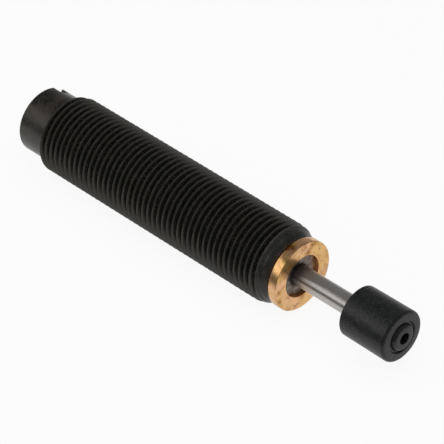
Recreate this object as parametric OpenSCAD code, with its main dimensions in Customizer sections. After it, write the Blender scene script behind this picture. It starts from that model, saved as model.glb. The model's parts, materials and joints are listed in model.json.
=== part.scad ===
// Miniature self-compensating hydraulic shock absorber with an M12 x 1 body.
// The long axis is X and the impact cap points to +X. The origin is on the axis,
// half way along the body thread. Inside the modules, x is measured from the rear face.

/* [Outer body] */
// Major diameter of the body thread
thread_d = 12; // [11.8:0.05:12.2]
// Length from the rear face to the stop face of the front ring
body_l = 52; // [52:0.5:60]
// Diameter of the smooth rear collar
collar_d = 10; // [9.6:0.1:10.4]
// Length of the smooth rear collar
collar_l = 5; // [4.5:0.1:5]
// Bore of the body
bore_d = 8.7; // [8.65:0.01:8.75]
// Width of the screwdriver slot in the rear face
slot_w = 2.1; // [1.2:0.1:2.4]
// Depth of the screwdriver slot
slot_depth = 2; // [1:0.1:2.4]
// Angle of the slot about the long axis, from Y towards Z
slot_angle = 56.4; // [0:0.1:180]

/* [Stop ring] */
// Outer diameter of the bronze stop ring
ring_d = 10.54; // [10.2:0.02:10.8]
// How far the ring stands out of the body
ring_proud = 1.8; // [1.6:0.1:2]
// Length of its flange; a short neck is left between the flange and the body
ring_flange_l = 1.4; // [1.2:0.1:1.5]
// Diameter of the recess in the ring's front face
recess_d = 6.38; // [6:0.02:6.6]
// Depth of that recess, down to the seal retainer
recess_depth = 0.6; // [0.4:0.1:0.9]

/* [Rod and cap] */
// Diameter of the piston rod
rod_d = 3; // [2.9:0.05:3.1]
// Travel of the rod
stroke = 10.25; // [8:0.25:10.25]
// Space left between the cap and the ring at full travel
end_space = 0.05; // [0.02:0.01:0.1]
// Diameter of the impact cap at its front edge
cap_d = 7.7; // [7:0.1:8]
// Length of the impact cap, up to the top of its crown
cap_l = 8.4; // [7.6:0.1:9]
// Radius of the crowned impact face
crown_r = 10.5; // [9:0.5:16]
// Diameter of the vent hole in the impact face
vent_d = 1.7; // [1.2:0.1:1.7]

/* [Pressure tube] */
// Inner diameter of the pressure tube
tube_id = 6; // [5.9:0.05:6.1]
// Wall of the pressure tube
tube_wall = 0.7; // [0.5:0.05:0.75]
// Number of metering orifices along the travel
orifice_count = 8; // [5:1:10]
// Diameter of each metering orifice
orifice_d = 0.55; // [0.3:0.05:0.6]
// Turn from one orifice to the next round the tube
orifice_turn = 100; // [60:5:140]

/* [Return spring] */
// Wire diameter of the return spring
wire_d = 0.5; // [0.4:0.05:0.55]
// Mean diameter of the coils
coil_d = 4.6; // [4.5:0.05:4.7]
// Number of turns, closed end turns included
coil_turns = 11; // [8:1:12]

/* [Hidden] */
$fn = 96;

black_oxide = [0.14, 0.14, 0.14];
bronze = [0.80, 0.62, 0.38];
ground_steel = [0.74, 0.74, 0.73];
plain_steel = [0.55, 0.54, 0.53];
black_polymer = [0.19, 0.20, 0.20];
seal_rubber = [0.08, 0.08, 0.08];
white_ptfe = [0.88, 0.87, 0.84];
grey_foam = [0.35, 0.35, 0.37];
spring_wire = [0.62, 0.63, 0.65];

cut = 0.5;                              // how far a cutter runs past what it cuts
run_gap = 0.03;                         // radial running clearance of a moving fit
seat_gap = 0.02;                        // radial clearance of a fixed fit

// Outer body
collar_edge_r = 0.25;                   // rounding of the rear edge
thread_lead = 0.5;                      // length of the rear chamfer of the thread
thread_start = collar_l + thread_lead;
body_front = body_l - ring_proud;       // front face of the body
nose_l = 1.8;                           // length of the body's cone-shaped nose
nose_x = body_front - nose_l;
nose_start_r = 5.84;                    // radius where the thread's taper meets the nose
nose_tip_r = 4.72;                      // radius where the nose would meet the front face
nose_edge_r = 0.25;                     // rounding there
nose_slope = atan((nose_start_r - nose_tip_r) / nose_l);
thread_end = nose_x - 0.9;
thread_root_r = thread_d / 2 - 0.6;
thread_mid = (thread_start + thread_end) / 2;
bore_floor = 5.5;

// Stack inside the body, from the rear to the front
plug_flange_l = 1;
tube_start = bore_floor + plug_flange_l;
plug_spigot_l = 1.8;
plug_end = tube_start + plug_spigot_l;
seat_base = 0.7;                        // thickness of both spring seats
seat_sleeve = 1.4;                      // length of their sleeves inside the coils
head_l = 18.8;                          // from the stop face back to the valve plate's rear face
valve_x = body_l - head_l;
valve_l = 0.8;
neck_l = 1.6;                           // length of the piston's neck under the check ring
neck_r = 1.85;
ring_float = 0.3;                       // axial play of the check ring
piston_x = valve_x + valve_l;           // rear end of the piston's neck
piston_flange_l = 1;
piston_front = piston_x + neck_l + piston_flange_l;
bumper_l = 0.55;
bumper_x = piston_front + run_gap;
housing_x = bumper_x + bumper_l;        // rear face of the bearing housing
housing_spigot_l = 0.85;
tube_end = housing_x + housing_spigot_l;
housing_rear_flange_l = 1;
foam_x = tube_end + housing_rear_flange_l;
ring_l = 5.7;                           // stop ring with the spigot that centres it
ring_x = body_l - ring_l;
seal_bore_l = 1.7;
housing_front_flange_l = 2.1;
foam_end = ring_x - housing_front_flange_l;
seal_x = ring_x - seal_bore_l;          // floor of the seal's bore
tube_or = tube_id / 2 + tube_wall;
bore_r = bore_d / 2;
rod_r = rod_d / 2;
stud_r = 0.95;                          // reduced rear end of the rod
nut_r = 1.55;
seal_r = 2.6;                           // outer radius of the rod seal
bearing_r = 2;                          // outer radius of the rod bearing
retainer_l = 0.6;
retainer_hole_r = 1.64;
retainer_x = body_l - recess_depth - retainer_l;
wiper_l = 1.6;
cap_x = body_l + stroke + end_space;    // rear face of the cap
cap_front = cap_x + cap_l;
socket_l = 6;                           // how far the rod reaches into the cap
rod_end = cap_x + socket_l;
snap_from_end = 1.8;                    // from the rod's end back to its snap groove
snap_x = rod_end - snap_from_end;
snap_l = 0.8;
snap_r = 1.2;

// Points of an arc in a profile of [radius, x]
function arc(centre, r, from, to, steps = 8) = [
    for (i = [0:steps]) let (a = from + (to - from) * i / steps)
        centre + r * [cos(a), sin(a)]
];

// Places a piece drawn from the rear face into the part's frame
module from_rear() { translate([-thread_mid, 0, 0]) children(); }

// A turned piece from its profile of [radius, x]
module turned(profile) { rotate([0, 90, 0]) rotate_extrude() polygon(profile); }

// A plain sleeve or washer
module sleeve(x, l, inner_r, outer_r) {
    turned([[inner_r, x], [outer_r, x], [outer_r, x + l], [inner_r, x + l]]);
}

// A round ring of round section
module o_ring(x, mean_r, section_r) {
    rotate([0, 90, 0]) translate([0, 0, x]) rotate_extrude() translate([mean_r, 0]) circle(section_r);
}

// Copies of a child on a circle round the long axis
module round_axis(count) { for (i = [0:count - 1]) rotate([i * 360 / count, 0, 0]) children(); }

// Threaded tube, closed at the rear, with the collar, the slot and the rounded nose
module outer_body() {
    nose_edge_centre_r = nose_tip_r + nose_edge_r * (tan(nose_slope) - 1 / cos(nose_slope));
    color(black_oxide) from_rear() difference() {
        turned(concat(
            [[0, 0]],
            arc([collar_d / 2 - collar_edge_r, collar_edge_r], collar_edge_r, -90, 0, 4),
            [[collar_d / 2, collar_l], [thread_root_r, collar_l], [thread_d / 2, thread_start],
             [thread_d / 2, thread_end]],
            [[nose_start_r, nose_x]],
            arc([nose_edge_centre_r, body_front - nose_edge_r], nose_edge_r, nose_slope, 90, 5),
            [[bore_r, body_front], [bore_r, bore_floor], [0, bore_floor]]
        ));
        rotate([slot_angle, 0, 0])
            translate([-cut, -collar_d, -slot_w / 2])
                cube([slot_depth + cut, 2 * collar_d, slot_w]);
    }
}

// Bronze ring whose flange is the positive stop and whose spigot centres it in the bore
module stop_ring() {
    edge_r = 0.1;
    ring_neck_r = 4.65;
    flange_x = body_l - ring_flange_l;
    hole_r = rod_r + 0.25;
    wiper_x = retainer_x - wiper_l;
    color(bronze) from_rear() turned(concat(
        [[hole_r, ring_x], [bore_r - seat_gap, ring_x], [bore_r - seat_gap, body_front],
         [ring_neck_r, body_front], [ring_neck_r, flange_x], [ring_d / 2, flange_x]],
        arc([ring_d / 2 - edge_r, body_l - edge_r], edge_r, 0, 90, 4),
        [[recess_d / 2, body_l], [recess_d / 2, retainer_x], [seal_r, retainer_x],
         [seal_r, wiper_x], [hole_r, wiper_x]]
    ));
}

// Flat washer in the recess of the stop ring that holds the wiper in
module seal_retainer() {
    color(plain_steel) from_rear() sleeve(
        retainer_x, retainer_l, retainer_hole_r, recess_d / 2 - seat_gap
    );
}

// Wiper behind the washer, whose lip leans forwards on the rod
module rod_wiper() {
    end_gap = 0.05;
    rear_x = retainer_x - wiper_l + end_gap;
    front_x = retainer_x - end_gap;
    lip_r = rod_r + 0.05;
    color(seal_rubber) from_rear() turned([
        [lip_r + 0.3, rear_x], [seal_r - seat_gap, rear_x], [seal_r - seat_gap, front_x],
        [lip_r, front_x], [lip_r + 0.12, front_x - 0.7]
    ]);
}

// Cup seal of U section, open towards the pressure side
module rod_seal() {
    x = seal_x + 0.4;
    l = seal_bore_l - 0.45;
    lip_r = rod_r + run_gap;
    mid_r = (lip_r + seal_r) / 2;
    color(seal_rubber) from_rear() turned([
        [lip_r, x], [lip_r + 0.2, x], [mid_r, x + l * 0.55], [seal_r - 0.2, x], [seal_r - seat_gap, x],
        [seal_r - seat_gap, x + l], [lip_r + 0.1, x + l], [lip_r + 0.1, x + l * 0.6]
    ]);
}

// Thin ring between the rod bearing and the rod seal
module backup_ring() {
    color(white_ptfe) from_rear() sleeve(seal_x, 0.35, rod_r + 0.05, seal_r - seat_gap);
}

// Housing that carries the rod bearing and the rod seal and closes the pressure tube
module bearing_housing() {
    barrel_r = bearing_r + 0.75;
    groove_x = foam_end + 0.5;
    groove_l = 1.05;
    groove_r = bore_r - 0.86;
    outer_r = bore_r - seat_gap;
    port_r = 0.32;
    color(plain_steel) from_rear() difference() {
        turned([
            [bearing_r, housing_x], [tube_id / 2 - seat_gap, housing_x],
            [tube_id / 2 - seat_gap, tube_end], [outer_r, tube_end], [outer_r, foam_x],
            [barrel_r, foam_x], [barrel_r, foam_end], [outer_r, foam_end], [outer_r, groove_x],
            [groove_r, groove_x], [groove_r, groove_x + groove_l],
            [outer_r, groove_x + groove_l], [outer_r, ring_x], [seal_r, ring_x], [seal_r, seal_x],
            [bearing_r, seal_x]
        ]);
        round_axis(6) translate([tube_end - cut, 0, outer_r]) rotate([0, 90, 0])
            cylinder(r = port_r, h = housing_rear_flange_l + 2 * cut);
    }
}

// Plain bearing bush that guides the rod
module rod_bearing() {
    color(bronze) from_rear()
        sleeve(housing_x + 0.2, seal_x - housing_x - 0.2, rod_r + run_gap, bearing_r - seat_gap);
}

// Static seal between the bearing housing and the body
module housing_o_ring() {
    color(seal_rubber) from_rear() o_ring(foam_end + 1.02, bore_r - 0.43, 0.42);
}

// Closed-cell foam sleeve that gives way to the oil the rod displaces
module accumulator_foam() {
    color(grey_foam) from_rear()
        sleeve(foam_x + 0.05, foam_end - foam_x - 0.1, bearing_r + 0.8, bore_r - 0.05);
}

// Elastic washer that the piston meets when the rod is fully out
module rebound_bumper() {
    color(seal_rubber) from_rear() sleeve(bumper_x, bumper_l, rod_r + 0.15, tube_id / 2 - 0.25);
}

// Position of one metering orifice: evenly spaced in the square root of the travel that is left,
// so that the open area falls with the speed and the force stays level
function orifice_x(i) = piston_x - 0.1 - stroke * (1 - pow((orifice_count - i) / orifice_count, 2));

// Pressure tube with its row of metering orifices and its ring of return ports
module pressure_tube() {
    port_x = piston_front - 0.5;
    port_d = 0.8;
    color(ground_steel) from_rear() difference() {
        sleeve(tube_start, tube_end - tube_start, tube_id / 2, tube_or);
        for (i = [0:orifice_count - 1])
            translate([orifice_x(i), 0, 0]) rotate([i * orifice_turn, 0, 0])
                cylinder(d = orifice_d, h = tube_or + cut);
        round_axis(4) translate([port_x, 0, 0]) cylinder(d = port_d, h = tube_or + cut);
    }
}

// Plug that closes the rear of the pressure tube and stands on the floor of the bore
module tube_end_plug() {
    groove_x = tube_start + 0.4;
    groove_l = 0.8;
    groove_r = tube_id / 2 - 0.62;
    spigot_r = tube_id / 2 - seat_gap;
    notch_r = 0.55;
    color(plain_steel) from_rear() difference() {
        turned([
            [0, bore_floor], [bore_r - seat_gap, bore_floor], [bore_r - seat_gap, tube_start],
            [spigot_r, tube_start], [spigot_r, groove_x], [groove_r, groove_x],
            [groove_r, groove_x + groove_l], [spigot_r, groove_x + groove_l],
            [spigot_r, plug_end], [0, plug_end]
        ]);
        round_axis(4) translate([bore_floor - cut, 0, bore_r]) rotate([0, 90, 0])
            cylinder(r = notch_r, h = plug_flange_l + 2 * cut);
    }
}

// Static seal between the plug and the pressure tube
module plug_o_ring() {
    color(seal_rubber) from_rear() o_ring(tube_start + 0.8, tube_id / 2 - 0.32, 0.3);
}

// A seat with a sleeve that centres one end of the return spring; way is 1 or -1 along X
module spring_seat(x, way) {
    inner_r = nut_r + 0.08;
    sleeve_r = coil_d / 2 - wire_d / 2 - 0.08;
    color(plain_steel) from_rear() turned([
        [inner_r, x], [tube_id / 2 - 0.2, x], [tube_id / 2 - 0.2, x + way * seat_base],
        [sleeve_r, x + way * seat_base], [sleeve_r, x + way * (seat_base + seat_sleeve)],
        [inner_r, x + way * (seat_base + seat_sleeve)]
    ]);
}

module rear_spring_seat() { spring_seat(plug_end, 1); }

module front_spring_seat() { spring_seat(valve_x - seat_gap, -1); }

// Return spring: a round wire swept along a helix whose end turns are closed
module return_spring() {
    sides = 8;
    steps = 16;                         // rings of the sweep in each turn
    first_x = plug_end + seat_base + wire_d / 2;
    last_x = valve_x - seat_gap - seat_base - wire_d / 2;
    closed_pitch = wire_d * 1.1;
    open_pitch = (last_x - first_x - 2 * closed_pitch) / (coil_turns - 2);
    count = coil_turns * steps;
    function helix_x(turn) = first_x + (turn < 1 ? closed_pitch * turn
        : turn < coil_turns - 1 ? closed_pitch + open_pitch * (turn - 1)
        : closed_pitch * (turn - coil_turns + 2) + open_pitch * (coil_turns - 2));
    function wire_point(i, j) = let (
        around = 360 * i / steps,
        across = 360 * j / sides,
        r = (coil_d + wire_d * cos(across)) / 2
    ) [helix_x(i / steps) + wire_d / 2 * sin(across), r * cos(around), r * sin(around)];
    points = [for (i = [0:count]) for (j = [0:sides - 1]) wire_point(i, j)];
    sides_of_wire = [
        for (i = [0:count - 1]) for (j = [0:sides - 1])
            let (a = i * sides + j, b = i * sides + (j + 1) % sides) [a, b, b + sides, a + sides]
    ];
    ends = [[for (j = [sides - 1:-1:0]) j], [for (j = [0:sides - 1]) count * sides + j]];
    color(spring_wire) from_rear() polyhedron(points, concat(sides_of_wire, ends));
}

// Six-sided nut on the stud of the rod that clamps the piston stack
module piston_nut() {
    l = 1.7;
    color(plain_steel) from_rear() translate([valve_x - l, 0, 0]) rotate([0, 90, 0]) difference() {
        cylinder(r = nut_r, h = l, $fn = 6);
        translate([0, 0, -cut]) cylinder(r = stud_r, h = l + 2 * cut);
    }
}

// Slotted plate behind the check ring that lets the oil through on the way out
module valve_plate() {
    plate_r = tube_id / 2 - 0.25;
    notch_r = 0.55;
    color(plain_steel) from_rear() difference() {
        sleeve(valve_x, valve_l, stud_r, plate_r);
        round_axis(6) translate([valve_x - cut, 0, plate_r]) rotate([0, 90, 0])
            cylinder(r = notch_r, h = valve_l + 2 * cut);
    }
}

// Floating ring that seals against the piston's flange on the way in and opens on the way out
module check_ring() {
    color(bronze) from_rear() sleeve(
        piston_x + ring_float, neck_l - ring_float, neck_r + 0.2, tube_id / 2 - run_gap
    );
}

// Piston with its neck for the check ring and its front flange
module piston() {
    flange_r = tube_id / 2 - 0.4;
    chamfer = 0.2;
    color(plain_steel) from_rear() turned([
        [stud_r, piston_x], [neck_r, piston_x], [neck_r, piston_x + neck_l],
        [flange_r, piston_x + neck_l], [flange_r, piston_front - chamfer],
        [flange_r - chamfer, piston_front], [stud_r, piston_front]
    ]);
}

// Ground rod with its threaded stud at the rear and its snap groove at the front
module piston_rod() {
    stud_x = valve_x - 2.1;
    stud_chamfer = 0.2;
    end_chamfer = 0.3;
    color(ground_steel) from_rear() turned([
        [0, stud_x], [stud_r - stud_chamfer, stud_x], [stud_r, stud_x + stud_chamfer],
        [stud_r, piston_front], [rod_r, piston_front], [rod_r, snap_x], [snap_r, snap_x],
        [snap_r, snap_x + snap_l], [rod_r, snap_x + snap_l], [rod_r, rod_end - end_chamfer],
        [rod_r - end_chamfer, rod_end], [0, rod_end]
    ]);
}

// Polymer cap with a crowned face, a boss sunk into its centre and a vent to the rod
module impact_cap() {
    edge_r = 0.12;
    back_edge_r = 0.15;
    back_r = cap_d / 2 - 0.07;          // the side has a slight draft
    sink_r = 2.36;                      // radius of the step round the boss
    sink_depth = 0.5;                   // from the top of the crown down to the foot of the step
    sink_flat = 0.2;
    boss_r = 1.1;                       // radius where the boss's top starts to fall away
    rib_gap = 0.05;
    socket_r = rod_r + seat_gap;
    crown_x = cap_front - crown_r;      // centre of the crown's sphere
    // the edge rounding is tangent to the crown
    edge_centre_r = cap_d / 2 - edge_r;
    edge_centre_x = crown_x + sqrt(pow(crown_r - edge_r, 2) - pow(edge_centre_r, 2));
    crown_edge = atan2(edge_centre_x - crown_x, edge_centre_r);
    sink_x = cap_front - sink_depth;
    color(black_polymer) from_rear() difference() {
        turned(concat(
            [[0, cap_x]],
            arc([back_r - back_edge_r, cap_x + back_edge_r], back_edge_r, -90, 0, 4),
            arc([edge_centre_r, edge_centre_x], edge_r, 0, crown_edge, 4),
            arc([0, crown_x], crown_r, crown_edge, 90, 12)
        ));
        turned([
            [0, cap_x - cut], [socket_r, cap_x - cut], [socket_r, snap_x + rib_gap],
            [snap_r + rib_gap, snap_x + rib_gap], [snap_r + rib_gap, snap_x + snap_l - rib_gap],
            [socket_r, snap_x + snap_l - rib_gap], [socket_r, rod_end], [vent_d / 2, rod_end],
            [vent_d / 2, cap_front + cut], [0, cap_front + cut]
        ]);
        // the foot of the step, and the boss's side, which falls in a soft S to that foot
        turned(concat(
            [[sink_r, cap_front + cut], [sink_r, sink_x], [sink_r - sink_flat, sink_x]],
            [for (i = [1:6]) let (t = i / 6)
                [sink_r - sink_flat - (sink_r - sink_flat - boss_r) * t,
                 sink_x + sink_depth * (1 - cos(180 * t)) / 2]],
            [[boss_r, cap_front + cut]]
        ));
    }
}

outer_body();
stop_ring();
seal_retainer();
rod_wiper();
rod_seal();
backup_ring();
bearing_housing();
rod_bearing();
housing_o_ring();
accumulator_foam();
rebound_bumper();
pressure_tube();
tube_end_plug();
plug_o_ring();
rear_spring_seat();
return_spring();
front_spring_seat();
piston_nut();
valve_plate();
check_ring();
piston();
piston_rod();
impact_cap();
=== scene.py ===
# Miniature hydraulic shock absorber: threaded body, bronze stop ring, ground rod, polymer cap.
# Shapes are worked out in millimetres along the long axis X, and the meshes are in metres.
import json
import math

import bmesh
import bpy
import numpy as np
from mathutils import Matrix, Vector


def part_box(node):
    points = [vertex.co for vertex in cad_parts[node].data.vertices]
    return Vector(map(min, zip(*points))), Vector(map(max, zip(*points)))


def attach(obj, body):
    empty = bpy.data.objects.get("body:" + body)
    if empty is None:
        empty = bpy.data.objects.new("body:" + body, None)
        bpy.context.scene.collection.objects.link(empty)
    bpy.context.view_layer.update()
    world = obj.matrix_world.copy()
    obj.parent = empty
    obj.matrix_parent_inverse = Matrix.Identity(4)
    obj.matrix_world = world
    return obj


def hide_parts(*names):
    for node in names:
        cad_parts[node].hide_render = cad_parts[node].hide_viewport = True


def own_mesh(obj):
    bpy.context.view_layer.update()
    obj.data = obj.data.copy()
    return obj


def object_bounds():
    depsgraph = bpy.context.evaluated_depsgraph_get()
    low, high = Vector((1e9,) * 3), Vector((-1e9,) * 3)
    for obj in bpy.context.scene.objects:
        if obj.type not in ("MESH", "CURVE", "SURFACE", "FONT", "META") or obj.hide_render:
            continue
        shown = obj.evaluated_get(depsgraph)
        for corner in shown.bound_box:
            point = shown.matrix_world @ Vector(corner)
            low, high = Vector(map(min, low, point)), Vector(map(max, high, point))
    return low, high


mm = 0.001
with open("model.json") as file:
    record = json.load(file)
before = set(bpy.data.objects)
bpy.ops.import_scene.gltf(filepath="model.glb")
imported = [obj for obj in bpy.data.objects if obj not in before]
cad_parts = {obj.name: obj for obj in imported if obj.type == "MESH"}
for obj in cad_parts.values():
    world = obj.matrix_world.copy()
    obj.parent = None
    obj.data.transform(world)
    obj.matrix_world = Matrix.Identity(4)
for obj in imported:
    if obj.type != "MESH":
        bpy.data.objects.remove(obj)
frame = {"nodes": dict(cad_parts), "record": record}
cadLow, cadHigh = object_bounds()
print("frame loaded with", len(frame["nodes"]), "nodes")

cameraView = dict(
    target=(9.25, 0.81, 0.0),   # point on the optical axis, mm
    azimuth=45.15,              # degrees; 0 looks along +Y
    elevation=37.41,            # degrees above the horizon
    distance=398.95,            # mm from the target
    lens=233.43,                # mm
    sensor=36,                  # its width, mm
    clip=(0.01, 10),            # nearest and furthest things seen, m
)


# Places the camera on a sphere round its target:
# target + distance * (sin a cos e, -cos a cos e, sin e)
def makeCamera(view):
    a, e = math.radians(view["azimuth"]), math.radians(view["elevation"])
    back = Vector((math.sin(a) * math.cos(e), -math.cos(a) * math.cos(e), math.sin(e)))
    camera = bpy.data.objects.new("camera", bpy.data.cameras.new("camera"))
    camera.data.sensor_width = view["sensor"]
    camera.data.lens = view["lens"]
    camera.data.clip_start, camera.data.clip_end = view["clip"]
    camera.location = (Vector(view["target"]) + back * view["distance"]) * mm
    camera.rotation_mode = "QUATERNION"
    camera.rotation_quaternion = (-back).to_track_quat("-Z", "Y")
    bpy.context.scene.collection.objects.link(camera)
    bpy.context.scene.camera = camera


makeCamera(cameraView)


# The lesser of a and b, blended over a span k by a parabola: b + (a - b) h - k h (1 - h),
# where h runs from 0 to 1 as b - a runs from -k to k
def smoothMin(a, b, k):
    h = np.clip(0.5 + 0.5 * (b - a) / k, 0, 1)
    return b + (a - b) * h - k * h * (1 - h)


# Turns the corners (x, r, fillet) of an outline into arcs tangent to both sides: the centre of
# each lies on the corner's bisector, fillet / sin(half the corner's angle) from the corner
def roundOutline(corners, closed=True, steps=4):
    points = []
    last = len(corners) - 1
    for i, (x, r, fillet) in enumerate(corners):
        here = np.array((x, r), float)
        if fillet == 0 or (not closed and i in (0, last)):
            points.append(here)
            continue
        before = np.array(corners[i - 1][:2]) - here
        after = np.array(corners[(i + 1) % (last + 1)][:2]) - here
        before, after = before / np.linalg.norm(before), after / np.linalg.norm(after)
        half = math.acos(before @ after) / 2
        bisector = (before + after) / np.linalg.norm(before + after)
        centre = here + bisector * fillet / math.sin(half)
        first = before * fillet / math.tan(half) + here - centre
        final = after * fillet / math.tan(half) + here - centre
        start = math.atan2(first[1], first[0])
        turn = math.atan2(final[1], final[0]) - start
        turn = (turn + math.pi) % (2 * math.pi) - math.pi
        angles = start + turn * np.linspace(0, 1, steps + 1)
        points.extend(centre + fillet * np.stack([np.cos(angles), np.sin(angles)], 1))
    return np.array(points)


# Quads between neighbours of a grid of vertex numbers
def gridFaces(index):
    corners = (index[:-1, :-1], index[1:, :-1], index[1:, 1:], index[:-1, 1:])
    return np.stack([c.ravel() for c in corners], 1)


mergeDistance = 1e-4        # mm


# A mesh from points in mm and a list of faces: doubles are merged, which closes poles and
# seams, and the faces are turned outwards
def closedMesh(name, points, faces):
    mesh = bpy.data.meshes.new(name)
    mesh.from_pydata((points * mm).tolist(), [], faces)
    bm = bmesh.new()
    bm.from_mesh(mesh)
    bmesh.ops.remove_doubles(bm, verts=bm.verts, dist=mergeDistance * mm)
    bmesh.ops.recalc_face_normals(bm, faces=bm.faces)
    bm.to_mesh(mesh)
    bm.free()
    return mesh


# A turned surface: outline point (x, r) and angle a give (x, r cos a, r sin a)
def turnedGrid(outline, count, closed):
    if closed:
        outline = np.vstack([outline, outline[:1]])
    angles = np.linspace(0, 2 * math.pi, count + 1)
    x = np.repeat(outline[:, 0], count + 1)
    r = np.repeat(outline[:, 1], count + 1)
    a = np.tile(angles, len(outline))
    points = np.stack([x, r * np.cos(a), r * np.sin(a)], 1)
    index = np.arange(len(points)).reshape(len(outline), count + 1)
    return points, gridFaces(index)


# A turned piece from corners measured from the rear face, with count points round it
def turnedMesh(name, corners, count, closed=True, steps=4):
    outline = roundOutline(corners, closed, steps) + (rearX, 0)
    points, faces = turnedGrid(outline, count, closed)
    return closedMesh(name, points, faces.tolist())


largeFaceWeight = 100       # from 1 to 100: how far large faces set the shading of small ones


# Makes the object of a piece, gives it its finish and its body, and hides the CAD nodes it stands
# for
def addPiece(name, mesh, body, nodes, slot, weighted=True):
    mesh.shade_smooth()
    piece = bpy.data.objects.new(name, mesh)
    bpy.context.scene.collection.objects.link(piece)
    mesh.materials.clear()
    mesh.materials.append(finishes[slot])
    if weighted:
        shading = piece.modifiers.new("weightedNormal", "WEIGHTED_NORMAL")
        shading.weight = largeFaceWeight
    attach(piece, body)
    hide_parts(*nodes)
    print("piece", name, "with", len(mesh.polygons), "faces")
    return piece


# The mesh of an object after its modifiers
def evaluatedMesh(thing):
    bpy.context.view_layer.update()
    graph = bpy.context.evaluated_depsgraph_get()
    return bpy.data.meshes.new_from_object(thing.evaluated_get(graph))


# Sets a node's inputs, each to a value or, by a link, to another node's output
def setInputs(tree, node, inputs):
    for key, value in inputs.items():
        if isinstance(value, bpy.types.NodeSocket):
            tree.links.new(value, node.inputs[key])
        else:
            node.inputs[key].default_value = value


def addNode(tree, kind, inputs=None, **settings):
    node = tree.nodes.new("ShaderNode" + kind)
    for key, value in settings.items():
        setattr(node, key, value)
    setInputs(tree, node, inputs or {})
    return node


def newFinish(name):
    finish = bpy.data.materials.new(name)
    finish.use_nodes = True
    tree = finish.node_tree
    return finish, tree, tree.nodes["Principled BSDF"]


def calculate(tree, operation, *values):
    return addNode(tree, "Math", dict(enumerate(values)), operation=operation).outputs[0]


def multiply(tree, a, b):
    return calculate(tree, "MULTIPLY", a, b)


# Where a point is, in mm: the whole of it, its x, y and z, and its distance from the long axis
def axisPlace(tree):
    place = addNode(tree, "TexCoord").outputs["Object"]
    point = addNode(tree, "VectorMath", {0: place, "Scale": 1 / mm}, operation="SCALE").outputs[0]
    x, y, z = addNode(tree, "SeparateXYZ", {0: point}).outputs
    squared = calculate(tree, "MULTIPLY_ADD", z, z, multiply(tree, y, y))
    return dict(point=point, x=x, y=y, z=z, radius=calculate(tree, "SQRT", squared))


# Noise that changes fast along x and along the radius but slowly round the axis, as the marks
# of a turning tool do; fine is marks per mm, slow is how fast they change round the axis
def turningMarks(tree, fine, slow, detail=3.0):
    at = axisPlace(tree)
    scaled = [multiply(tree, at[key], rate) for key, rate in
              (("x", fine), ("radius", fine), ("y", slow), ("z", slow))]
    vector = addNode(tree, "CombineXYZ", dict(enumerate(scaled[:3]))).outputs[0]
    return addNode(tree, "TexNoise", {"Vector": vector, "W": scaled[3], "Scale": 1.0,
                                      "Detail": detail}, noise_dimensions="4D").outputs[0]


# Even noise; size is the width of its blotches in mm
def blotches(tree, size, detail=3.0, offset=(0, 0, 0)):
    point = axisPlace(tree)["point"]
    moved = addNode(tree, "VectorMath", {0: point, 1: offset}, operation="ADD").outputs[0]
    return addNode(tree, "TexNoise", {"Vector": moved, "Scale": 1 / size,
                                      "Detail": detail}).outputs[0]


noiseMiddle = (0.38, 0.62)      # most of a noise lies between these values
noiseSpan = (0.3, 0.7)          # and nearly all of it between these


# Maps a value from one range to another, and keeps it inside
def remap(tree, value, source, target=(0, 1), **settings):
    return addNode(tree, "MapRange", {
        "Value": value, "From Min": source[0], "From Max": source[1],
        "To Min": target[0], "To Max": target[1],
    }, **settings).outputs[0]


# 1 inside a band that a value enters over the range rise and leaves over the range fall
def band(tree, value, rise, fall):
    return multiply(tree, remap(tree, value, rise), remap(tree, value, fall, (1, 0)))


# Mixes two colours; each is three numbers or another node's output
def mixColours(tree, share, low, high):
    low, high = (c if isinstance(c, bpy.types.NodeSocket) else (*c, 1) for c in (low, high))
    # 6 and 7 are the inputs for colours, and 2 is their output
    return addNode(tree, "Mix", {"Factor": share, 6: low, 7: high}, data_type="RGBA").outputs[2]


# Relief of a height in mm; strength is left at 1 so that the height is the real one
def relief(tree, height, depth, normal=None):
    inputs = {"Height": height, "Distance": depth * mm, "Strength": 1.0}
    if normal is not None:
        inputs["Normal"] = normal
    return addNode(tree, "Bump", inputs).outputs[0]


oxideLook = dict(
    threadTones=((0.0034, 0.0036, 0.0030), (0.0050, 0.0046, 0.0032)),   # from black to olive
    collarTones=((0.0030, 0.0027, 0.0022), (0.0200, 0.0140, 0.0100)),
    noseTones=((0.0060, 0.0064, 0.0058), (0.0165, 0.0165, 0.0150)),
    paintedReflectionTone=(0.030, 0.014, 0.008),         # painted reflection of the bronze ring on the nose's front edge
    # painted shade in the thread's roots and where the thread meets the collar
    rootShadeTone=(0.0008, 0.0008, 0.0007),
    # wear and a painted highlight on the upper flanks and crests
    wearAndHighlightTone=(0.038, 0.036, 0.030),
    speckTone=(0.11, 0.10, 0.085),
    sheen=(1.0, 0.97, 0.88, 1),             # tint of the gloss
    specular=0.5,
    roughness=(0.25, 0.36),
    crestPolish=0.55,                       # share of that roughness on the crests
    rootRoughness=0.95,
    cloud=dict(size=1.6, detail=4),
    haze=dict(size=5, detail=3, offset=(7, 3, 1)),
    grain=dict(size=0.10, detail=2),
    specks=dict(size=0.14, detail=1, offset=(2, 8, 4)),
    dashes=dict(fine=5, slow=1.3, detail=1.0),
    marks=dict(fine=9, slow=0.15),
    collarClouds=(0.44, 0.62),              # noise over which the tones of a place change
    noseClouds=(0.40, 0.60),
    dashCut=(0.56, 0.66),                   # noise over which dashes and specks appear
    speckCut=(0.66, 0.72),
    speckShare=0.8,
    dashWear=(0.0, 1.6),                    # how much of the wear and painted highlight the dashes and the grain give
    grainWear=(0.5, 1.1),
    collarEnd=(5.10, 5.25),                 # radii, mm
    rootShadeBand=((5.10, 5.25), (5.42, 5.60)),
    wearAndHighlightBand=((5.64, 5.82), (5.90, 5.96)),
    crests=(5.82, 5.93),
    noseFrom=(2.0, 1.7),                    # distances behind the front face, mm
    paintedReflectionFrom=(0.32, 0.12),
    rootShadeTo=(2.0, 1.8),
    markDepth=0.005,                        # mm
    grainDepth=0.005,
)
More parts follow.
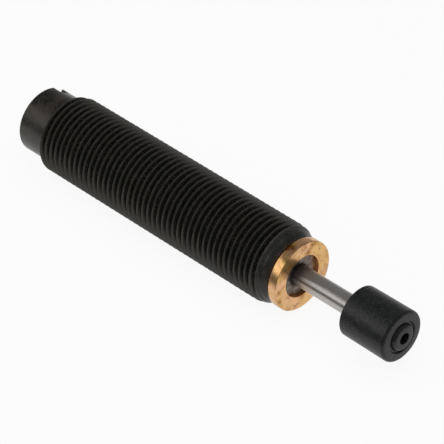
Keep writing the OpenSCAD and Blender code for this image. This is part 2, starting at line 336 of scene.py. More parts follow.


# Blackened steel: the thread's tone drifts, and the smooth collar and nose are paler and blotched.
# Painted shade darkens the matt roots; wear and a painted highlight pale the flanks below smoother
# crests.
def blackOxide(look):
    finish, tree, shader = newFinish("blackOxide")
    at = axisPlace(tree)
    x, radius = at["x"], at["radius"]
    cloud, haze, grain = (blotches(tree, **look[key]) for key in ("cloud", "haze", "grain"))
    thread = mixColours(tree, remap(tree, haze, noiseMiddle), *look["threadTones"])
    collar = mixColours(tree, remap(tree, cloud, look["collarClouds"]), *look["collarTones"])
    nose = mixColours(tree, remap(tree, cloud, look["noseClouds"]), *look["noseTones"])
    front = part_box("outer_body")[1].x / mm
    noseFrom, paintedReflectionFrom, rootShadeTo = ([front - distance for distance in look[key]]
                                  for key in ("noseFrom", "paintedReflectionFrom", "rootShadeTo"))
    onNose, onPaintedReflection = remap(tree, x, noseFrom), remap(tree, x, paintedReflectionFrom)
    tone = mixColours(tree, remap(tree, radius, look["collarEnd"], (1, 0)), thread, collar)
    tone = mixColours(tree, onNose, tone, nose)
    # painted brown reflection of the bronze ring on the nose's front edge
    tone = mixColours(tree, onPaintedReflection, tone, look["paintedReflectionTone"])
    # painted shade in the roots of the thread, which are also matt
    rootShade = band(tree, radius, *look["rootShadeBand"])
    rootShade = multiply(tree, rootShade, remap(tree, x, rootShadeTo, (1, 0)))
    tone = mixColours(tree, rootShade, tone, look["rootShadeTone"])
    # wear and a painted highlight make the upper flanks paler
    wearAndHighlight = band(tree, radius, *look["wearAndHighlightBand"])
    dashes = remap(tree, turningMarks(tree, **look["dashes"]), look["dashCut"], look["dashWear"])
    wear = calculate(tree, "ADD", dashes, remap(tree, grain, noiseMiddle, look["grainWear"]))
    wearAndHighlight = multiply(tree, wearAndHighlight, wear)
    specks = remap(tree, blotches(tree, **look["specks"]), look["speckCut"],
                   (0, look["speckShare"]))
    polish = remap(tree, radius, look["crests"], (1, look["crestPolish"]))
    gloss = multiply(tree, remap(tree, cloud, noiseSpan, look["roughness"]), polish)
    tone = mixColours(tree, wearAndHighlight, tone, look["wearAndHighlightTone"])
    setInputs(tree, shader, {
        "Base Color": mixColours(tree, specks, tone, look["speckTone"]),
        "Roughness": calculate(tree, "MAXIMUM", gloss,
                               multiply(tree, rootShade, look["rootRoughness"])),
        "Specular IOR Level": look["specular"],
        "Specular Tint": look["sheen"],
        "Normal": relief(tree, turningMarks(tree, **look["marks"]), look["markDepth"],
                         relief(tree, grain, look["grainDepth"])),
    })
    return finish


# How near a point is to a spot on the ring: 1 at (x, angle in degrees, radius), 0 at the reach
def nearSpot(tree, x, angle, radius, reach):
    angle = math.radians(angle)
    spot = (x, radius * math.cos(angle), radius * math.sin(angle))
    point = axisPlace(tree)["point"]
    away = addNode(tree, "VectorMath", {0: point, 1: spot}, operation="DISTANCE").outputs["Value"]
    return remap(tree, away, (0, reach), (1, 0), interpolation_type="SMOOTHSTEP")


bronzeLook = dict(
    tones=((0.93, 0.56, 0.21), (0.97, 0.57, 0.31)),
    stainAndShadeTone=(0.30, 0.095, 0.012),
    recessShadeTone=(0.90, 0.37, 0.15),        # painted shade: the wall of the recess is darker and redder
    pitTone=(0.05, 0.025, 0.01),
    roughness=(0.15, 0.27),
    marks=dict(fine=11, slow=0.30),
    grooves=dict(fine=3, slow=0.35, detail=1.0),
    cloud=dict(size=0.9, detail=4),
    haze=dict(size=2.2, detail=3, offset=(4, 9, 2)),
    filmCut=(0.50, 0.66),               # noise over which the thin film of stain appears
    filmShare=0.55,
    filmMarks=(0.35, 0.60),             # marks that hold the film, and how much of it
    filmHeld=(0.3, 1.0),
    unevenCut=(0.38, 0.54),             # noise that breaks up the stains, and by how much
    uneven=(0.30, 1.15),
    recessShadeEnd=(3.22, 3.32),               # radii, mm
    recessShadeShare=0.6,
    # stains, and at 146 degrees painted shade with a painted dark reflection of the rod:
    # how far behind the front face, angle, radius, reach and strength
    stainAndShadeSpots=((0.2, 66, 5.0, 1.1, 0.95), (0.1, 88, 4.8, 0.9, 0.8), (1.2, 108, 5.3, 1.7, 1.2),
            (0.1, 146, 4.4, 1.5, 0.6), (0.7, 160, 5.3, 0.9, 0.5), (0.0, 75, 3.6, 1.0, 0.8),
            (0.0, 268, 3.5, 1.2, 0.7), (0.0, 235, 5.1, 1.0, 0.6), (0.0, 184, 4.6, 0.9, 0.6),
            (0.0, 205, 4.9, 0.8, 0.7), (0.0, 20, 4.9, 0.9, 0.5), (0.0, 338, 4.3, 1.1, 0.4)),
    pit=(43, 4.45, 0.19),               # angle, radius and reach
    pitEdge=(0.2, 0.7),                 # nearness over which the pit's rim falls
    pitDepth=-0.05,                     # depths of the relief, mm
    markDepth=0.010,
    grooveDepth=0.016,
)


# Turned bronze with tool marks, a thin film of stain, darker stains and painted shade in places,
# one pit
def turnedBronze(look):
    finish, tree, shader = newFinish("turnedBronze")
    fromAxis = axisPlace(tree)["radius"]
    marks, grooves = (turningMarks(tree, **look[key]) for key in ("marks", "grooves"))
    cloud, haze = (blotches(tree, **look[key]) for key in ("cloud", "haze"))
    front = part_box("stop_ring")[1].x / mm
    clean = mixColours(tree, remap(tree, haze, noiseMiddle), *look["tones"])
    stainAndShade = multiply(tree, remap(tree, cloud, look["filmCut"], (0, look["filmShare"])),
                     remap(tree, marks, look["filmMarks"], look["filmHeld"]))
    uneven = remap(tree, cloud, look["unevenCut"], look["uneven"])
    # most spots are stains; the one at 146 degrees is painted shade and a dark reflection of the
    # rod
    for behind, angle, radius, reach, strength in look["stainAndShadeSpots"]:
        spot = nearSpot(tree, front - behind, angle, radius, reach)
        spot = multiply(tree, multiply(tree, spot, uneven), strength)
        stainAndShade = calculate(tree, "MAXIMUM", stainAndShade, spot)
    pit = remap(tree, nearSpot(tree, front, *look["pit"]), look["pitEdge"])
    tone = mixColours(tree, stainAndShade, clean, look["stainAndShadeTone"])
    # painted shade on the wall of the recess
    recessShade = remap(tree, fromAxis, look["recessShadeEnd"], (look["recessShadeShare"], 0))
    tone = mixColours(tree, recessShade, tone, look["recessShadeTone"])
    turned = relief(tree, marks, look["markDepth"], relief(tree, grooves, look["grooveDepth"]))
    setInputs(tree, shader, {
        "Base Color": mixColours(tree, pit, tone, look["pitTone"]),
        "Metallic": 1.0,
        "Roughness": remap(tree, marks, noiseSpan, look["roughness"]),
        "Normal": relief(tree, pit, look["pitDepth"], turned),
    })
    return finish


rodLook = dict(
    tones=((0.585, 0.562, 0.530), (0.690, 0.662, 0.625)),
    # painted dark reflection on the rod next to the stop ring
    paintedShadeTone=(0.20, 0.195, 0.19),
    roughness=(0.26, 0.34),
    stretch=(1.0, 0.25),        # how far the gloss is drawn out, and its turn
    marks=dict(fine=22, slow=0.6, detail=2),
    cloud=dict(size=1.2, detail=3),
    paintedShadeEnd=(0.2, 2.4),          # mm in front of the stop ring
    paintedShadeWander=1.6,              # how far the edge of the painted dark reflection wanders, mm
    markDepth=0.002,            # mm
)


# Steel ground on a cylinder: the scratches run round it, so its gloss is drawn out along the
# axis, and the stretch that comes out of the seal is darkened with a painted dark reflection
def groundSteel(look):
    finish, tree, shader = newFinish("groundSteel")
    x = axisPlace(tree)["x"]
    marks = turningMarks(tree, **look["marks"])
    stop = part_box("stop_ring")[1].x / mm
    wander = multiply(tree, blotches(tree, **look["cloud"]), look["paintedShadeWander"])
    paintedShadeEnd = [stop + distance for distance in look["paintedShadeEnd"]]
    # painted dark reflection: the rod is darker next to the stop ring
    pastPaintedShade = remap(tree, calculate(tree, "ADD", x, wander), paintedShadeEnd)
    clean = mixColours(tree, marks, *look["tones"])
    setInputs(tree, shader, {
        "Base Color": mixColours(tree, pastPaintedShade, look["paintedShadeTone"], clean),
        "Metallic": 1.0,
        "Roughness": remap(tree, marks, noiseSpan, look["roughness"]),
        "Anisotropic": look["stretch"][0],
        "Anisotropic Rotation": look["stretch"][1],
        "Tangent": addNode(tree, "Tangent", direction_type="RADIAL", axis="X").outputs[0],
        "Normal": relief(tree, marks, look["markDepth"]),
    })
    return finish


polymerLook = dict(
    tones=((0.0034, 0.0040, 0.0039), (0.0098, 0.0107, 0.0104)),
    speckTone=(0.085, 0.090, 0.087),
    specular=0.45,
    roughness=(0.26, 0.42),
    grain=dict(size=0.09, detail=2),
    cloud=dict(size=0.55, detail=4),
    specks=dict(size=0.18, detail=1, offset=(5, 2, 9)),
    speckCut=(0.69, 0.75),      # noise over which specks appear
    speckShare=0.8,
    grainDepth=0.008,           # mm
    cloudDepth=0.045,
)


# Moulded polymer with the dull mottling of handling and a few pale specks of dust
def mouldedPolymer(look):
    finish, tree, shader = newFinish("mouldedPolymer")
    grain, cloud = (blotches(tree, **look[key]) for key in ("grain", "cloud"))
    tone = mixColours(tree, remap(tree, cloud, noiseMiddle), *look["tones"])
    specks = remap(tree, blotches(tree, **look["specks"]), look["speckCut"],
                   (0, look["speckShare"]))
    setInputs(tree, shader, {
        "Base Color": mixColours(tree, specks, tone, look["speckTone"]),
        "Roughness": remap(tree, grain, noiseSpan, look["roughness"]),
        "Specular IOR Level": look["specular"],
        "Normal": relief(tree, grain, look["grainDepth"],
                         relief(tree, cloud, look["cloudDepth"])),
    })
    return finish


washerLook = dict(
    tones=((0.19, 0.145, 0.125), (0.31, 0.26, 0.225)),
    # painted shadow of the rod, a dark ring next to it
    paintedShadeTone=(0.065, 0.050, 0.043),
    roughness=(0.34, 0.52),
    cloud=dict(size=0.9, detail=4, offset=(3, 1, 5)),
    grain=dict(size=0.15, detail=3),
    paintedShadeEnd=(2.05, 2.55),        # radius, mm, where the painted shadow of the rod ends once its wander is added
    paintedShadeWander=0.8,
    grainDepth=0.008,           # mm
    cloudDepth=0.04,
)


# Stamped steel browned by old oil, with a painted shadow of the rod as a dark ring next to it
def stampedSteel(look):
    finish, tree, shader = newFinish("stampedSteel")
    radius = axisPlace(tree)["radius"]
    cloud, grain = (blotches(tree, **look[key]) for key in ("cloud", "grain"))
    clean = mixColours(tree, remap(tree, cloud, noiseMiddle), *look["tones"])
    # painted shadow of the rod: darker next to it
    edge = calculate(tree, "ADD", radius, multiply(tree, cloud, look["paintedShadeWander"]))
    setInputs(tree, shader, {
        "Base Color": mixColours(tree, remap(tree, edge, look["paintedShadeEnd"]), look["paintedShadeTone"], clean),
        "Metallic": 1.0,
        "Roughness": remap(tree, grain, noiseSpan, look["roughness"]),
        "Normal": relief(tree, grain, look["grainDepth"],
                         relief(tree, cloud, look["cloudDepth"])),
    })
    return finish


# the steels of the inner pieces, the seals, the PTFE and the foam differ only in these numbers:
# two tones, metallic, roughness, turning marks, size of the speckle and depth of both in mm
plainLooks = dict(
    inner_steel=dict(
        name="turnedSteel", tones=((0.42, 0.41, 0.40), (0.56, 0.55, 0.54)), metallic=1.0,
        roughness=(0.26, 0.38), marks=(12, 0.2), speckle=0.25, depth=0.01),
    tube_steel=dict(
        name="honedSteel", tones=((0.55, 0.55, 0.54), (0.66, 0.66, 0.65)), metallic=1.0,
        roughness=(0.16, 0.26), marks=(16, 0.5), speckle=0.25, depth=0.005),
    seal_rubber=dict(
        name="oiledRubber", tones=((0.010, 0.010, 0.010), (0.022, 0.022, 0.021)), metallic=0.0,
        roughness=(0.3, 0.5), marks=(2, 1), speckle=0.25, depth=0.01),
    ptfe=dict(
        name="whitePtfe", tones=((0.72, 0.71, 0.68), (0.80, 0.79, 0.77)), metallic=0.0,
        roughness=(0.35, 0.5), marks=(8, 0.2), speckle=0.25, depth=0.008),
    foam=dict(
        name="closedFoam", tones=((0.06, 0.06, 0.07), (0.16, 0.16, 0.18)), metallic=0.0,
        roughness=(0.8, 0.95), marks=(1, 1), speckle=0.12, depth=0.06),
    spring_steel=dict(
        name="springWire", tones=((0.30, 0.31, 0.32), (0.46, 0.47, 0.49)), metallic=1.0,
        roughness=(0.22, 0.34), marks=(4, 2), speckle=0.25, depth=0.004),
)
plainCut = (0.35, 0.65)         # marks and speckle over which the two tones change


# A dull metal or a plain polymer, whose tone and relief are half marks and half speckle
def plainFinish(look):
    finish, tree, shader = newFinish(look["name"])
    marks = turningMarks(tree, *look["marks"])
    speckle = blotches(tree, look["speckle"])
    both = calculate(tree, "MULTIPLY_ADD", marks, 0.5, multiply(tree, speckle, 0.5))
    setInputs(tree, shader, {
        "Base Color": mixColours(tree, remap(tree, both, plainCut), *look["tones"]),
        "Metallic": look["metallic"],
        "Roughness": remap(tree, speckle, noiseSpan, look["roughness"]),
        "Normal": relief(tree, both, look["depth"]),
    })
    return finish


finishes = {
    "black_oxide_steel": blackOxide(oxideLook),
    "bronze": turnedBronze(bronzeLook),
    "rod_steel": groundSteel(rodLook),
    "cap_polymer": mouldedPolymer(polymerLook),
    "retainer_steel": stampedSteel(washerLook),
    **{slot: plainFinish(look) for slot, look in plainLooks.items()},
}
print("finishes made:", len(finishes))


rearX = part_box("outer_body")[0].x / mm      # x of the rear face; pieces are measured from it
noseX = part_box("outer_body")[1].x / mm - rearX
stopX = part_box("stop_ring")[1].x / mm - rearX

bodyShape = dict(
    majorRadius=5.98,
    pitch=1.0,
    depth=0.66,             # crest to root
    crestFlat=0.01,
    edgeSoftness=0.02,      # rounding of the crests
    rootSoftness=0.08,      # rounding of the roots
    phase=0.09,             # shift of the thread along the body, in turns
    threadFrom=5.0,
    threadTo=noseX - 0.8,   # the nose beyond it is plain
    leadRadius=5.3,         # rear chamfer of the thread: radius at threadFrom and its length
    leadLength=0.5,
    taperFrom=47.5,         # front taper: where it starts and its radius where the nose starts
    taperRadius=5.84,
    noseLength=1.8,
    noseTip=4.80,           # radius where the nose's cone would meet the front face
    noseSoftness=0.08,      # rounding between taper and nose
    noseEdge=0.22,
    collarRadius=5.0,
    collarEdge=0.25,
    collarFillet=0.06,      # between the collar and the thread's rear chamfer
    boreRadius=4.35,
    boreFloor=5.5,
    boreEdge=0.04,
    boreFillet=0.1,
    frontSteps=6,           # steps along each arc of the front
    count=128,              # points round the body
)
slotShape = dict(
    width=2.1,
    depth=2.0,
    angle=56.4,             # degrees round the axis
    mouthChamfer=0.08,
    edgeBevel=0.06,
    overrun=1.0,            # how far the cutter stands out behind the collar, mm
    reach=8,                # and to either side of the axis
    # the bevel takes the edges that lie within rimSpare of the collar's radius, and from endSpare
    # in front of the rear face to endSpare past the slot's floor, and that bend by leastBend
    rimSpare=0.02,
    endSpare=0.01,
    leastBend=0.5,          # radians
)

# where one turn of the thread is sampled, as shares of the pitch from a crest's middle
turnSamples = np.array([0, 0.012, 0.03, 0.07, 0.20, 0.33, 0.38, 0.43, 0.5])
turnSamples = np.concatenate([turnSamples, 1 - turnSamples[-2:0:-1]])
spareTurns = 2              # turns before and after the thread, folded into its ends


# Radius of the V thread at a share p of a turn: a 60 degree flank, radius = crest - (distance
# from the crest's flat) / tan 30, held between the root and the crest with soft edges
def threadRadius(p, shape):
    away = np.abs(p - np.round(p)) * shape["pitch"] - shape["crestFlat"] / 2
    flank = shape["majorRadius"] - away / math.tan(math.radians(30))
    root = shape["majorRadius"] - shape["depth"]
    low = -smoothMin(-flank, -np.full_like(flank, root), shape["rootSoftness"])
    return smoothMin(low, np.full_like(flank, shape["majorRadius"]), shape["edgeSoftness"])


# Radius of the blank before its thread is cut: rear chamfer, cylinder, front taper and nose are
# straight lines, and the least of them counts, blended where the taper meets the nose
def blankRadius(x, shape):
    major, noseFrom = shape["majorRadius"], noseX - shape["noseLength"]
    lead = np.interp(x, [shape["threadFrom"], shape["threadFrom"] + shape["leadLength"]],
                     [shape["leadRadius"], major])
    taperSlope = (major - shape["taperRadius"]) / (noseFrom - shape["taperFrom"])
    noseSlope = (shape["taperRadius"] - shape["noseTip"]) / shape["noseLength"]
    taper = major - taperSlope * (x - shape["taperFrom"])
    nose = shape["noseTip"] + noseSlope * (noseX - x)
    return np.minimum(lead, smoothMin(taper, nose, shape["noseSoftness"]))


# The threaded stretch: row i and angle a lie at x = start + pitch (turn + share + a / 2 pi), so
# the rows follow the helix and join themselves one turn further on. Rows past either end are
# held at it, and merge there into one circle.
def threadGrid(shape, offset):
    count, perTurn = shape["count"], len(turnSamples)
    start = shape["threadFrom"] - shape["pitch"] * (spareTurns - shape["phase"])
    turns = math.ceil((shape["threadTo"] - start) / shape["pitch"]) + spareTurns
    share = (np.arange(turns)[:, None] + turnSamples[None, :]).ravel()
    around = np.arange(count) / count
    x = start + shape["pitch"] * (share[:, None] + around[None, :])
    x = np.clip(x, shape["threadFrom"], shape["threadTo"])
    cut = threadRadius(np.broadcast_to(share[:, None], x.shape), shape)
    r = smoothMin(blankRadius(x, shape), cut, shape["edgeSoftness"])
    angle = 2 * math.pi * around[None, :]
    points = np.stack([x, r * np.cos(angle), r * np.sin(angle)], 2).reshape(-1, 3)
    index = np.arange(len(points)).reshape(len(share), count)
    seam = np.hstack([index[:-perTurn, -1:], index[perTurn:, :1]])
    faces = np.vstack([gridFaces(index), gridFaces(seam)])
    return points, faces + offset


# The body: the collar and the bored front are turned, and the thread joins them edge to edge
def bodyMesh(shape):
    count = shape["count"]
    rear = roundOutline([
        (0, 0, 0),
        (0, shape["collarRadius"], shape["collarEdge"]),
        (shape["threadFrom"], shape["collarRadius"], shape["collarFillet"]),
        (shape["threadFrom"], shape["leadRadius"], 0),
    ], closed=False)
    front = roundOutline([
        (shape["threadTo"], blankRadius(shape["threadTo"], shape), 0),
        (noseX, shape["noseTip"], shape["noseEdge"]),
        (noseX, shape["boreRadius"], shape["boreEdge"]),
        (shape["boreFloor"], shape["boreRadius"], shape["boreFillet"]),
        (shape["boreFloor"], 0, 0),
    ], closed=False, steps=shape["frontSteps"])
    rearPoints, rearFaces = turnedGrid(rear, count, False)
    frontPoints, frontFaces = turnedGrid(front, count, False)
    frontFaces = frontFaces + len(rearPoints)
    threadPoints, threadFaces = threadGrid(shape, len(rearPoints) + len(frontPoints))
    points = np.vstack([rearPoints, frontPoints, threadPoints]) + (rearX, 0, 0)
    return closedMesh("bodyTube", points, np.vstack([rearFaces, frontFaces, threadFaces]).tolist())


# The slot's cutter: its section, straight with a chamfered mouth, drawn out across the collar
def slotCutter(slot):
    half, chamfer, out = slot["width"] / 2, slot["mouthChamfer"], slot["overrun"]
    section = np.array([
        (-out, half + chamfer + out), (chamfer, half), (slot["depth"], half),
        (slot["depth"], -half), (chamfer, -half), (-out, -half - chamfer - out),
    ])
    a = math.radians(slot["angle"])
    along = np.array((0, math.cos(a), math.sin(a)))
    across = np.array((0, -math.sin(a), math.cos(a)))
    ends = [section[:, :1] * (1, 0, 0) + section[:, 1:] * across + reach * along + (rearX, 0, 0)
            for reach in (-slot["reach"], slot["reach"])]
    corners = len(section)
    near, far = range(corners), range(corners, 2 * corners)
    sides = [(i, (i + 1) % corners, (i + 1) % corners + corners, i + corners) for i in near]
    return closedMesh("slotCutter", np.vstack(ends), sides + [tuple(near), tuple(reversed(far))])


# Cuts the slot out of the body and bevels the edges that it leaves on the collar
def cutSlot(mesh, slot, shape):
    blank, cutter = (bpy.data.objects.new(m.name, m) for m in (mesh, slotCutter(slot)))
    for thing in (blank, cutter):
        bpy.context.scene.collection.objects.link(thing)
    cut = blank.modifiers.new("slot", "BOOLEAN")
    cut.object, cut.operation, cut.solver = cutter, "DIFFERENCE", "MANIFOLD"
    result = evaluatedMesh(blank)
    for thing in (blank, cutter):
        bpy.data.objects.remove(thing)
    bm = bmesh.new()
    bm.from_mesh(result)
    edges = []
    spare = slot["endSpare"]
    for edge in bm.edges:
        ends = [v.co / mm for v in edge.verts]
        onRim = all(abs(math.hypot(p.y, p.z) - shape["collarRadius"]) < slot["rimSpare"]
                    for p in ends)
        inSlot = all(spare < p.x - rearX < slot["depth"] + spare for p in ends)
        if (onRim and inSlot and len(edge.link_faces) == 2
                and edge.calc_face_angle() > slot["leastBend"]):
            edges.append(edge)
    bmesh.ops.bevel(bm, geom=edges, offset=slot["edgeBevel"] * mm, segments=2, affect="EDGES",
                    profile=0.5, clamp_overlap=True)
    bm.to_mesh(result)
    bm.free()
    print("slot cut, bevelled edges:", len(edges))
    return result


addPiece("bodyTube", cutSlot(bodyMesh(bodyShape), slotShape, bodyShape),
         "barrel", ["outer_body"], "black_oxide_steel")


ringShape = dict(
    flangeRadius=5.27, flangeLength=1.4, edge=0.1, backEdge=0.08,
    recessRadius=3.19, recessEdge=0.07,
    neckRadius=4.65, neckFillet=0.05,
    spigotRadius=4.33, spigotFrom=46.3, spigotEdge=0.15,
    pocketRadius=2.6, pocketFrom=49.2,      # the wiper's pocket
    holeRadius=1.75, holeEdge=0.05,
    fillet=0.03,                            # of all other corners
    count=160, steps=6,                     # points round the ring, steps along each arc
)
washerShape = dict(innerRadius=1.56, outerRadius=3.17, thickness=0.6, recessDepth=0.6,
                   edge=0.07, backEdge=0.03, count=128)
wiperShape = dict(
    outerRadius=2.58, outerEdge=0.1,
    lipRadius=1.53, lipEdge=0.03,
    lipGap=0.05,            # between the lip and the washer
    lipLength=0.7,          # the lip's cone runs back this far and opens by lipRise
    lipRise=0.12,
    heelGap=0.05,           # between the heel and the pocket's floor
    heelRise=0.3,           # how much wider than the lip the heel is
    fillet=0.05,
    count=96,
)

washerFrom = stopX - washerShape["recessDepth"] - washerShape["thickness"]


def ringMesh(shape):
    flangeFrom, fillet = stopX - shape["flangeLength"], shape["fillet"]
    corners = [
        (shape["spigotFrom"], shape["holeRadius"], shape["holeEdge"]),
        (shape["spigotFrom"], shape["spigotRadius"], shape["spigotEdge"]),
        (noseX, shape["spigotRadius"], fillet),
        (noseX, shape["neckRadius"], fillet),
        (flangeFrom, shape["neckRadius"], shape["neckFillet"]),
        (flangeFrom, shape["flangeRadius"], shape["backEdge"]),
        (stopX, shape["flangeRadius"], shape["edge"]),
        (stopX, shape["recessRadius"], shape["recessEdge"]),
        (washerFrom, shape["recessRadius"], fillet),
        (washerFrom, shape["pocketRadius"], fillet),
        (shape["pocketFrom"], shape["pocketRadius"], fillet),
        (shape["pocketFrom"], shape["holeRadius"], fillet),
    ]
    return turnedMesh("stopRing", corners, shape["count"], steps=shape["steps"])


def washerMesh(shape):
    front = washerFrom + shape["thickness"]
    corners = [
        (washerFrom, shape["innerRadius"], shape["backEdge"]),
        (washerFrom, shape["outerRadius"], shape["backEdge"]),
        (front, shape["outerRadius"], shape["edge"]),
        (front, shape["innerRadius"], shape["edge"]),
    ]
    return turnedMesh("sealWasher", corners, shape["count"])


def wiperMesh(shape):
    lip, outer, fillet = shape["lipRadius"], shape["outerRadius"], shape["fillet"]
    back = ringShape["pocketFrom"] + shape["heelGap"]
    front = washerFrom - shape["lipGap"]
    corners = [
        (back, lip + shape["heelRise"], fillet),
        (back, outer, shape["outerEdge"]),
        (front, outer, fillet),
        (front, lip, shape["lipEdge"]),
        (front - shape["lipLength"], lip + shape["lipRise"], fillet),
    ]
    return turnedMesh("wiperLip", corners, shape["count"])


addPiece("stopRing", ringMesh(ringShape), "barrel", ["stop_ring"], "bronze")
addPiece("sealWasher", washerMesh(washerShape), "barrel", ["seal_retainer"], "retainer_steel")
addPiece("wiperLip", wiperMesh(wiperShape), "barrel", ["rod_wiper"], "seal_rubber")


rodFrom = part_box("piston_rod")[0].x / mm - rearX
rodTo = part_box("piston_rod")[1].x / mm - rearX
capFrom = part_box("impact_cap")[0].x / mm - rearX
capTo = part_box("impact_cap")[1].x / mm - rearX

rodShape = dict(
    radius=1.5,
    studRadius=0.95, studChamfer=0.2, studEdge=0.02,
    shoulder=36.6, shoulderEdge=0.08,
    endChamfer=0.3, endEdge=0.05,
    grooveRadius=1.2, grooveFromEnd=1.8, grooveLength=0.8, grooveEdge=0.04,
    count=96,
)
capShape = dict(
    frontRadius=3.845, backRadius=3.775, frontEdge=0.46, backEdge=0.15,
    ventRadius=0.84, ventEdge=0.12,
    bossRadius=1.80, bossDrop=0.06, bossEdge=0.36,    # the boss falls a little towards its edge
    moatFrom=2.05, moatTo=2.32, moatDepth=0.70, moatEdge=0.1,
    lipRadius=2.48, lipEdge=0.14,
    landDepth=(0.40, 0.47),             # the land is lower than the boss, and slopes outwards
    socketRadius=1.52, mouthEdge=0.03, socketFillet=0.05,
    ribGap=0.05, ribEdge=0.05,          # the rib snaps into the rod's groove
    count=160, steps=8,
)


# The rod is turned from one outline: stud, shoulder, groove for the cap, chamfered end
def rodMesh(shape):
    rod, stud, groove = shape["radius"], shape["studRadius"], shape["grooveRadius"]
    studEdge, grooveEdge, chamfer = shape["studEdge"], shape["grooveEdge"], shape["endChamfer"]
    grooveFrom = rodTo - shape["grooveFromEnd"]
    grooveTo = grooveFrom + shape["grooveLength"]
    corners = [
        (rodFrom, 0, 0),
        (rodFrom, stud - shape["studChamfer"], studEdge),
        (rodFrom + shape["studChamfer"], stud, studEdge),
        (shape["shoulder"], stud, studEdge),
        (shape["shoulder"], rod, shape["shoulderEdge"]),
        (grooveFrom, rod, grooveEdge),
        (grooveFrom, groove, grooveEdge),
        (grooveTo, groove, grooveEdge),
        (grooveTo, rod, grooveEdge),
        (rodTo - chamfer, rod, shape["endEdge"]),
        (rodTo, rod - chamfer, shape["endEdge"]),
        (rodTo, 0, 0),
    ]
    return turnedMesh("groundRod", corners, shape["count"], closed=False)


# The cap is turned from one outline with rounded corners: the side widens a little towards the
# front edge, and the land, the moat, the boss inside it and the vent follow inwards
def capMesh(shape):
    socket, mouthEdge, ribEdge = shape["socketRadius"], shape["mouthEdge"], shape["ribEdge"]
    ribFrom = rodTo - rodShape["grooveFromEnd"] + shape["ribGap"]
    ribTo = ribFrom + rodShape["grooveLength"] - 2 * shape["ribGap"]
    ribRadius = rodShape["grooveRadius"] + shape["ribGap"]
    lipX, edgeX = (capTo - depth for depth in shape["landDepth"])
    moatX = capTo - shape["moatDepth"]
    corners = [
        (capFrom, socket, mouthEdge),
        (capFrom, shape["backRadius"], shape["backEdge"]),
        (edgeX, shape["frontRadius"], shape["frontEdge"]),
        (lipX, shape["lipRadius"], shape["lipEdge"]),
        (moatX, shape["moatTo"], shape["moatEdge"]),
        (moatX, shape["moatFrom"], shape["moatEdge"]),
        (capTo - shape["bossDrop"], shape["bossRadius"], shape["bossEdge"]),
        (capTo, shape["ventRadius"], shape["ventEdge"]),
        (rodTo, shape["ventRadius"], shape["socketFillet"]),
        (rodTo, socket, shape["socketFillet"]),
        (ribTo, socket, mouthEdge),
        (ribTo, ribRadius, ribEdge),
        (ribFrom, ribRadius, ribEdge),
        (ribFrom, socket, mouthEdge),
    ]
    return turnedMesh("impactCap", corners, shape["count"], steps=shape["steps"])


addPiece("groundRod", rodMesh(rodShape), "rod", ["piston_rod"], "rod_steel", weighted=False)
addPiece("impactCap", capMesh(capShape), "rod", ["impact_cap"], "cap_polymer")


springShape = dict(
    wire=0.5,               # diameter of the wire, mm
    coil=4.6,               # and of the coil, at the middle of the wire
    turns=11,
    closedPitch=0.55,       # climb of the first and the last turn, mm
    sides=12,               # points round the wire
    steps=32,               # points along each turn
)
springFrom, springTo = (corner.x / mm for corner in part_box("return_spring"))


# A round wire on a helix: the centre line climbs by a closed pitch in the first and last turn and
# evenly between, and the section is a circle in the plane of the axis
def springMesh(shape):
    wire, turns, closedPitch = shape["wire"], shape["turns"], shape["closedPitch"]
    first, last = springFrom + wire / 2, springTo - wire / 2
    turn = np.linspace(0, turns, turns * shape["steps"] + 1)
    climb = np.interp(turn, [0, 1, turns - 1, turns],
                      [first, first + closedPitch, last - closedPitch, last])
    across = 2 * math.pi * np.arange(shape["sides"] + 1) / shape["sides"]
    r = (shape["coil"] + wire * np.cos(across))[None, :] / 2
    x = climb[:, None] + wire / 2 * np.sin(across)[None, :]
    angle = 2 * math.pi * turn[:, None]
    points = np.stack([x, r * np.cos(angle), r * np.sin(angle)], 2).reshape(-1, 3)
    index = np.arange(len(points)).reshape(len(turn), len(across))
    ends = [index[0, :-1].tolist(), index[-1, :-1].tolist()]
    return closedMesh("returnSpring", points, gridFaces(index).tolist() + ends)


returnSpring = addPiece("returnSpring", springMesh(springShape), "barrel", ["return_spring"],
                        "spring_steel", weighted=False)
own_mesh(returnSpring)


slots = {part["node"]: part["material_slot"] for part in frame["record"]["subparts"]}
for name, node in frame["nodes"].items():
    node.data.materials.clear()
    node.data.materials.append(finishes[slots[name]])
print("finishes given to", len(frame["nodes"]), "nodes")


studio = dict(
    floorZ=cadLow.z / mm,
    floorSize=3000,
    floorTone=0.80,             # the matt floor that lights the part
    floorWhite=0.92,            # share of plain white in the floor that the camera sees
    # metal sees the floor dim in front of an edge along Y and bright behind it
    floorDim=0.13,
    floorGloss=0.72,
    floorEdge=(-30, -11),       # where the one fades into the other, mm
    floorSkew=0.12,             # how far the edge moves along Y for each mm along X
    floorFrom=33,               # place along X where it is at floorEdge, mm
    # towards the rear, fading in between these places along X, the edge lies rearShift further
    # forward, and what metal sees is brighter by the share rearGain
    floorRear=(-18, -34),
    rearShift=26,
    rearGain=0.39,
    roomTone=(0.21, 0.21, 0.215),
    roomGlow=(0.18, 0.60),      # share of white added at the horizon, and how high it reaches
    roomSide=0.4,               # it is whole where a direction's x or y is at least this
    lampAim=(8, 0, 0),          # mm
    lamps={                     # place and size in mm, watts, and whether metal shows it
        "left": dict(at=(-262, -302, 215), size=(600, 280), power=0.46, shown=True),
        "top": dict(at=(60, -60, 440), size=(500, 500), power=1.5, shown=False),
    },
)


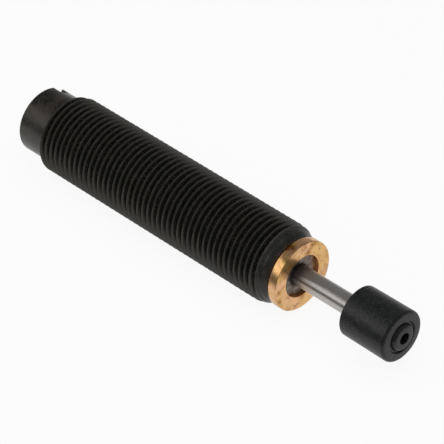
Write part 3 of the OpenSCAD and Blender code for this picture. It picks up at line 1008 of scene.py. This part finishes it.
# The floor: camera rays see it nearly white with the part's shadow left in, glossy rays see it
# dim in front of the edge and bright behind it, other rays see a pale matt surface. The place
# that counts for the edge is y - skew (x - skewFrom) + rear rearShift.
def makeFloor(studio):
    half, z = studio["floorSize"] / 2, studio["floorZ"]
    corners = np.array([(-half, -half, z), (half, -half, z), (half, half, z), (-half, half, z)])
    mesh = bpy.data.meshes.new("floor")
    mesh.from_pydata((corners * mm).tolist(), [], [(0, 1, 2, 3)])
    floor = bpy.data.objects.new("floor", mesh)
    bpy.context.scene.collection.objects.link(floor)
    finish = bpy.data.materials.new("floor")
    finish.use_nodes = True
    tree = finish.node_tree
    tree.nodes.clear()
    tone = studio["floorTone"]
    diffuse = addNode(tree, "BsdfDiffuse", {"Color": (tone, tone, tone, 1)}).outputs[0]
    place = addNode(tree, "TexCoord").outputs["Object"]
    x, y, _ = addNode(tree, "SeparateXYZ", {0: place}).outputs
    skew, skewFrom = studio["floorSkew"], studio["floorFrom"] * mm
    along = calculate(tree, "MULTIPLY_ADD", x, -skew, calculate(tree, "ADD", y, skew * skewFrom))
    rear = remap(tree, x, [c * mm for c in studio["floorRear"]])
    along = calculate(tree, "MULTIPLY_ADD", rear, studio["rearShift"] * mm, along)
    patch = remap(tree, along, [c * mm for c in studio["floorEdge"]],
                  (studio["floorDim"], studio["floorGloss"]))
    patch = multiply(tree, patch, calculate(tree, "MULTIPLY_ADD", rear, studio["rearGain"], 1.0))
    path = addNode(tree, "LightPath")
    camera = path.outputs["Is Camera Ray"]
    bounced = calculate(tree, "MAXIMUM", path.outputs["Is Glossy Ray"],
                        path.outputs["Is Transmission Ray"])
    strength = addNode(tree, "Mix", {0: camera, 2: patch, 3: 1.0}).outputs[0]
    white = addNode(tree, "Emission", {"Color": (1, 1, 1, 1), "Strength": strength}).outputs[0]
    share = calculate(tree, "MAXIMUM", multiply(tree, camera, studio["floorWhite"]), bounced)
    mixed = addNode(tree, "MixShader", {0: share, 1: diffuse, 2: white}).outputs[0]
    addNode(tree, "OutputMaterial", {"Surface": mixed})
    mesh.materials.append(finish)


# The room: white where the camera looks past the floor. All other rays see it dim, with a glow
# at the horizon on every side but the left, which falls to nothing as the direction rises.
def makeRoom(studio):
    world = bpy.data.worlds.new("room")
    world.use_nodes = True
    tree = world.node_tree
    tree.nodes.clear()
    path = addNode(tree, "LightPath")
    direction = addNode(tree, "TexCoord").outputs[0]
    x, y, z = addNode(tree, "SeparateXYZ", {0: direction}).outputs
    glow, height = studio["roomGlow"]
    low = remap(tree, z, (0, height), (glow, 0))
    side = remap(tree, calculate(tree, "MAXIMUM", x, y), (0, studio["roomSide"]))
    tone = mixColours(tree, multiply(tree, low, side), studio["roomTone"], (1, 1, 1))
    room = addNode(tree, "Background", {"Color": tone, "Strength": 1.0}).outputs[0]
    white = addNode(tree, "Background", {"Color": (1, 1, 1, 1), "Strength": 1.0}).outputs[0]
    mixed = addNode(tree, "MixShader", {0: path.outputs["Is Camera Ray"], 1: room, 2: white})
    addNode(tree, "OutputWorld", {"Surface": mixed.outputs[0]})
    bpy.context.scene.world = world


# Area lamps turned towards the part
def makeLamps(studio):
    aim = Vector(studio["lampAim"]) * mm
    for name, lamp in studio["lamps"].items():
        light = bpy.data.lights.new(name, "AREA")
        light.shape = "RECTANGLE"
        light.size, light.size_y = (side * mm for side in lamp["size"])
        light.energy = lamp["power"]
        thing = bpy.data.objects.new(name, light)
        thing.visible_glossy = lamp["shown"]
        thing.location = Vector(lamp["at"]) * mm
        thing.rotation_mode = "QUATERNION"
        thing.rotation_quaternion = (aim - thing.location).to_track_quat("-Z", "Y")
        bpy.context.scene.collection.objects.link(thing)


makeFloor(studio)
makeRoom(studio)
makeLamps(studio)
bpy.context.scene.view_settings.view_transform = "Standard"
print("studio made")
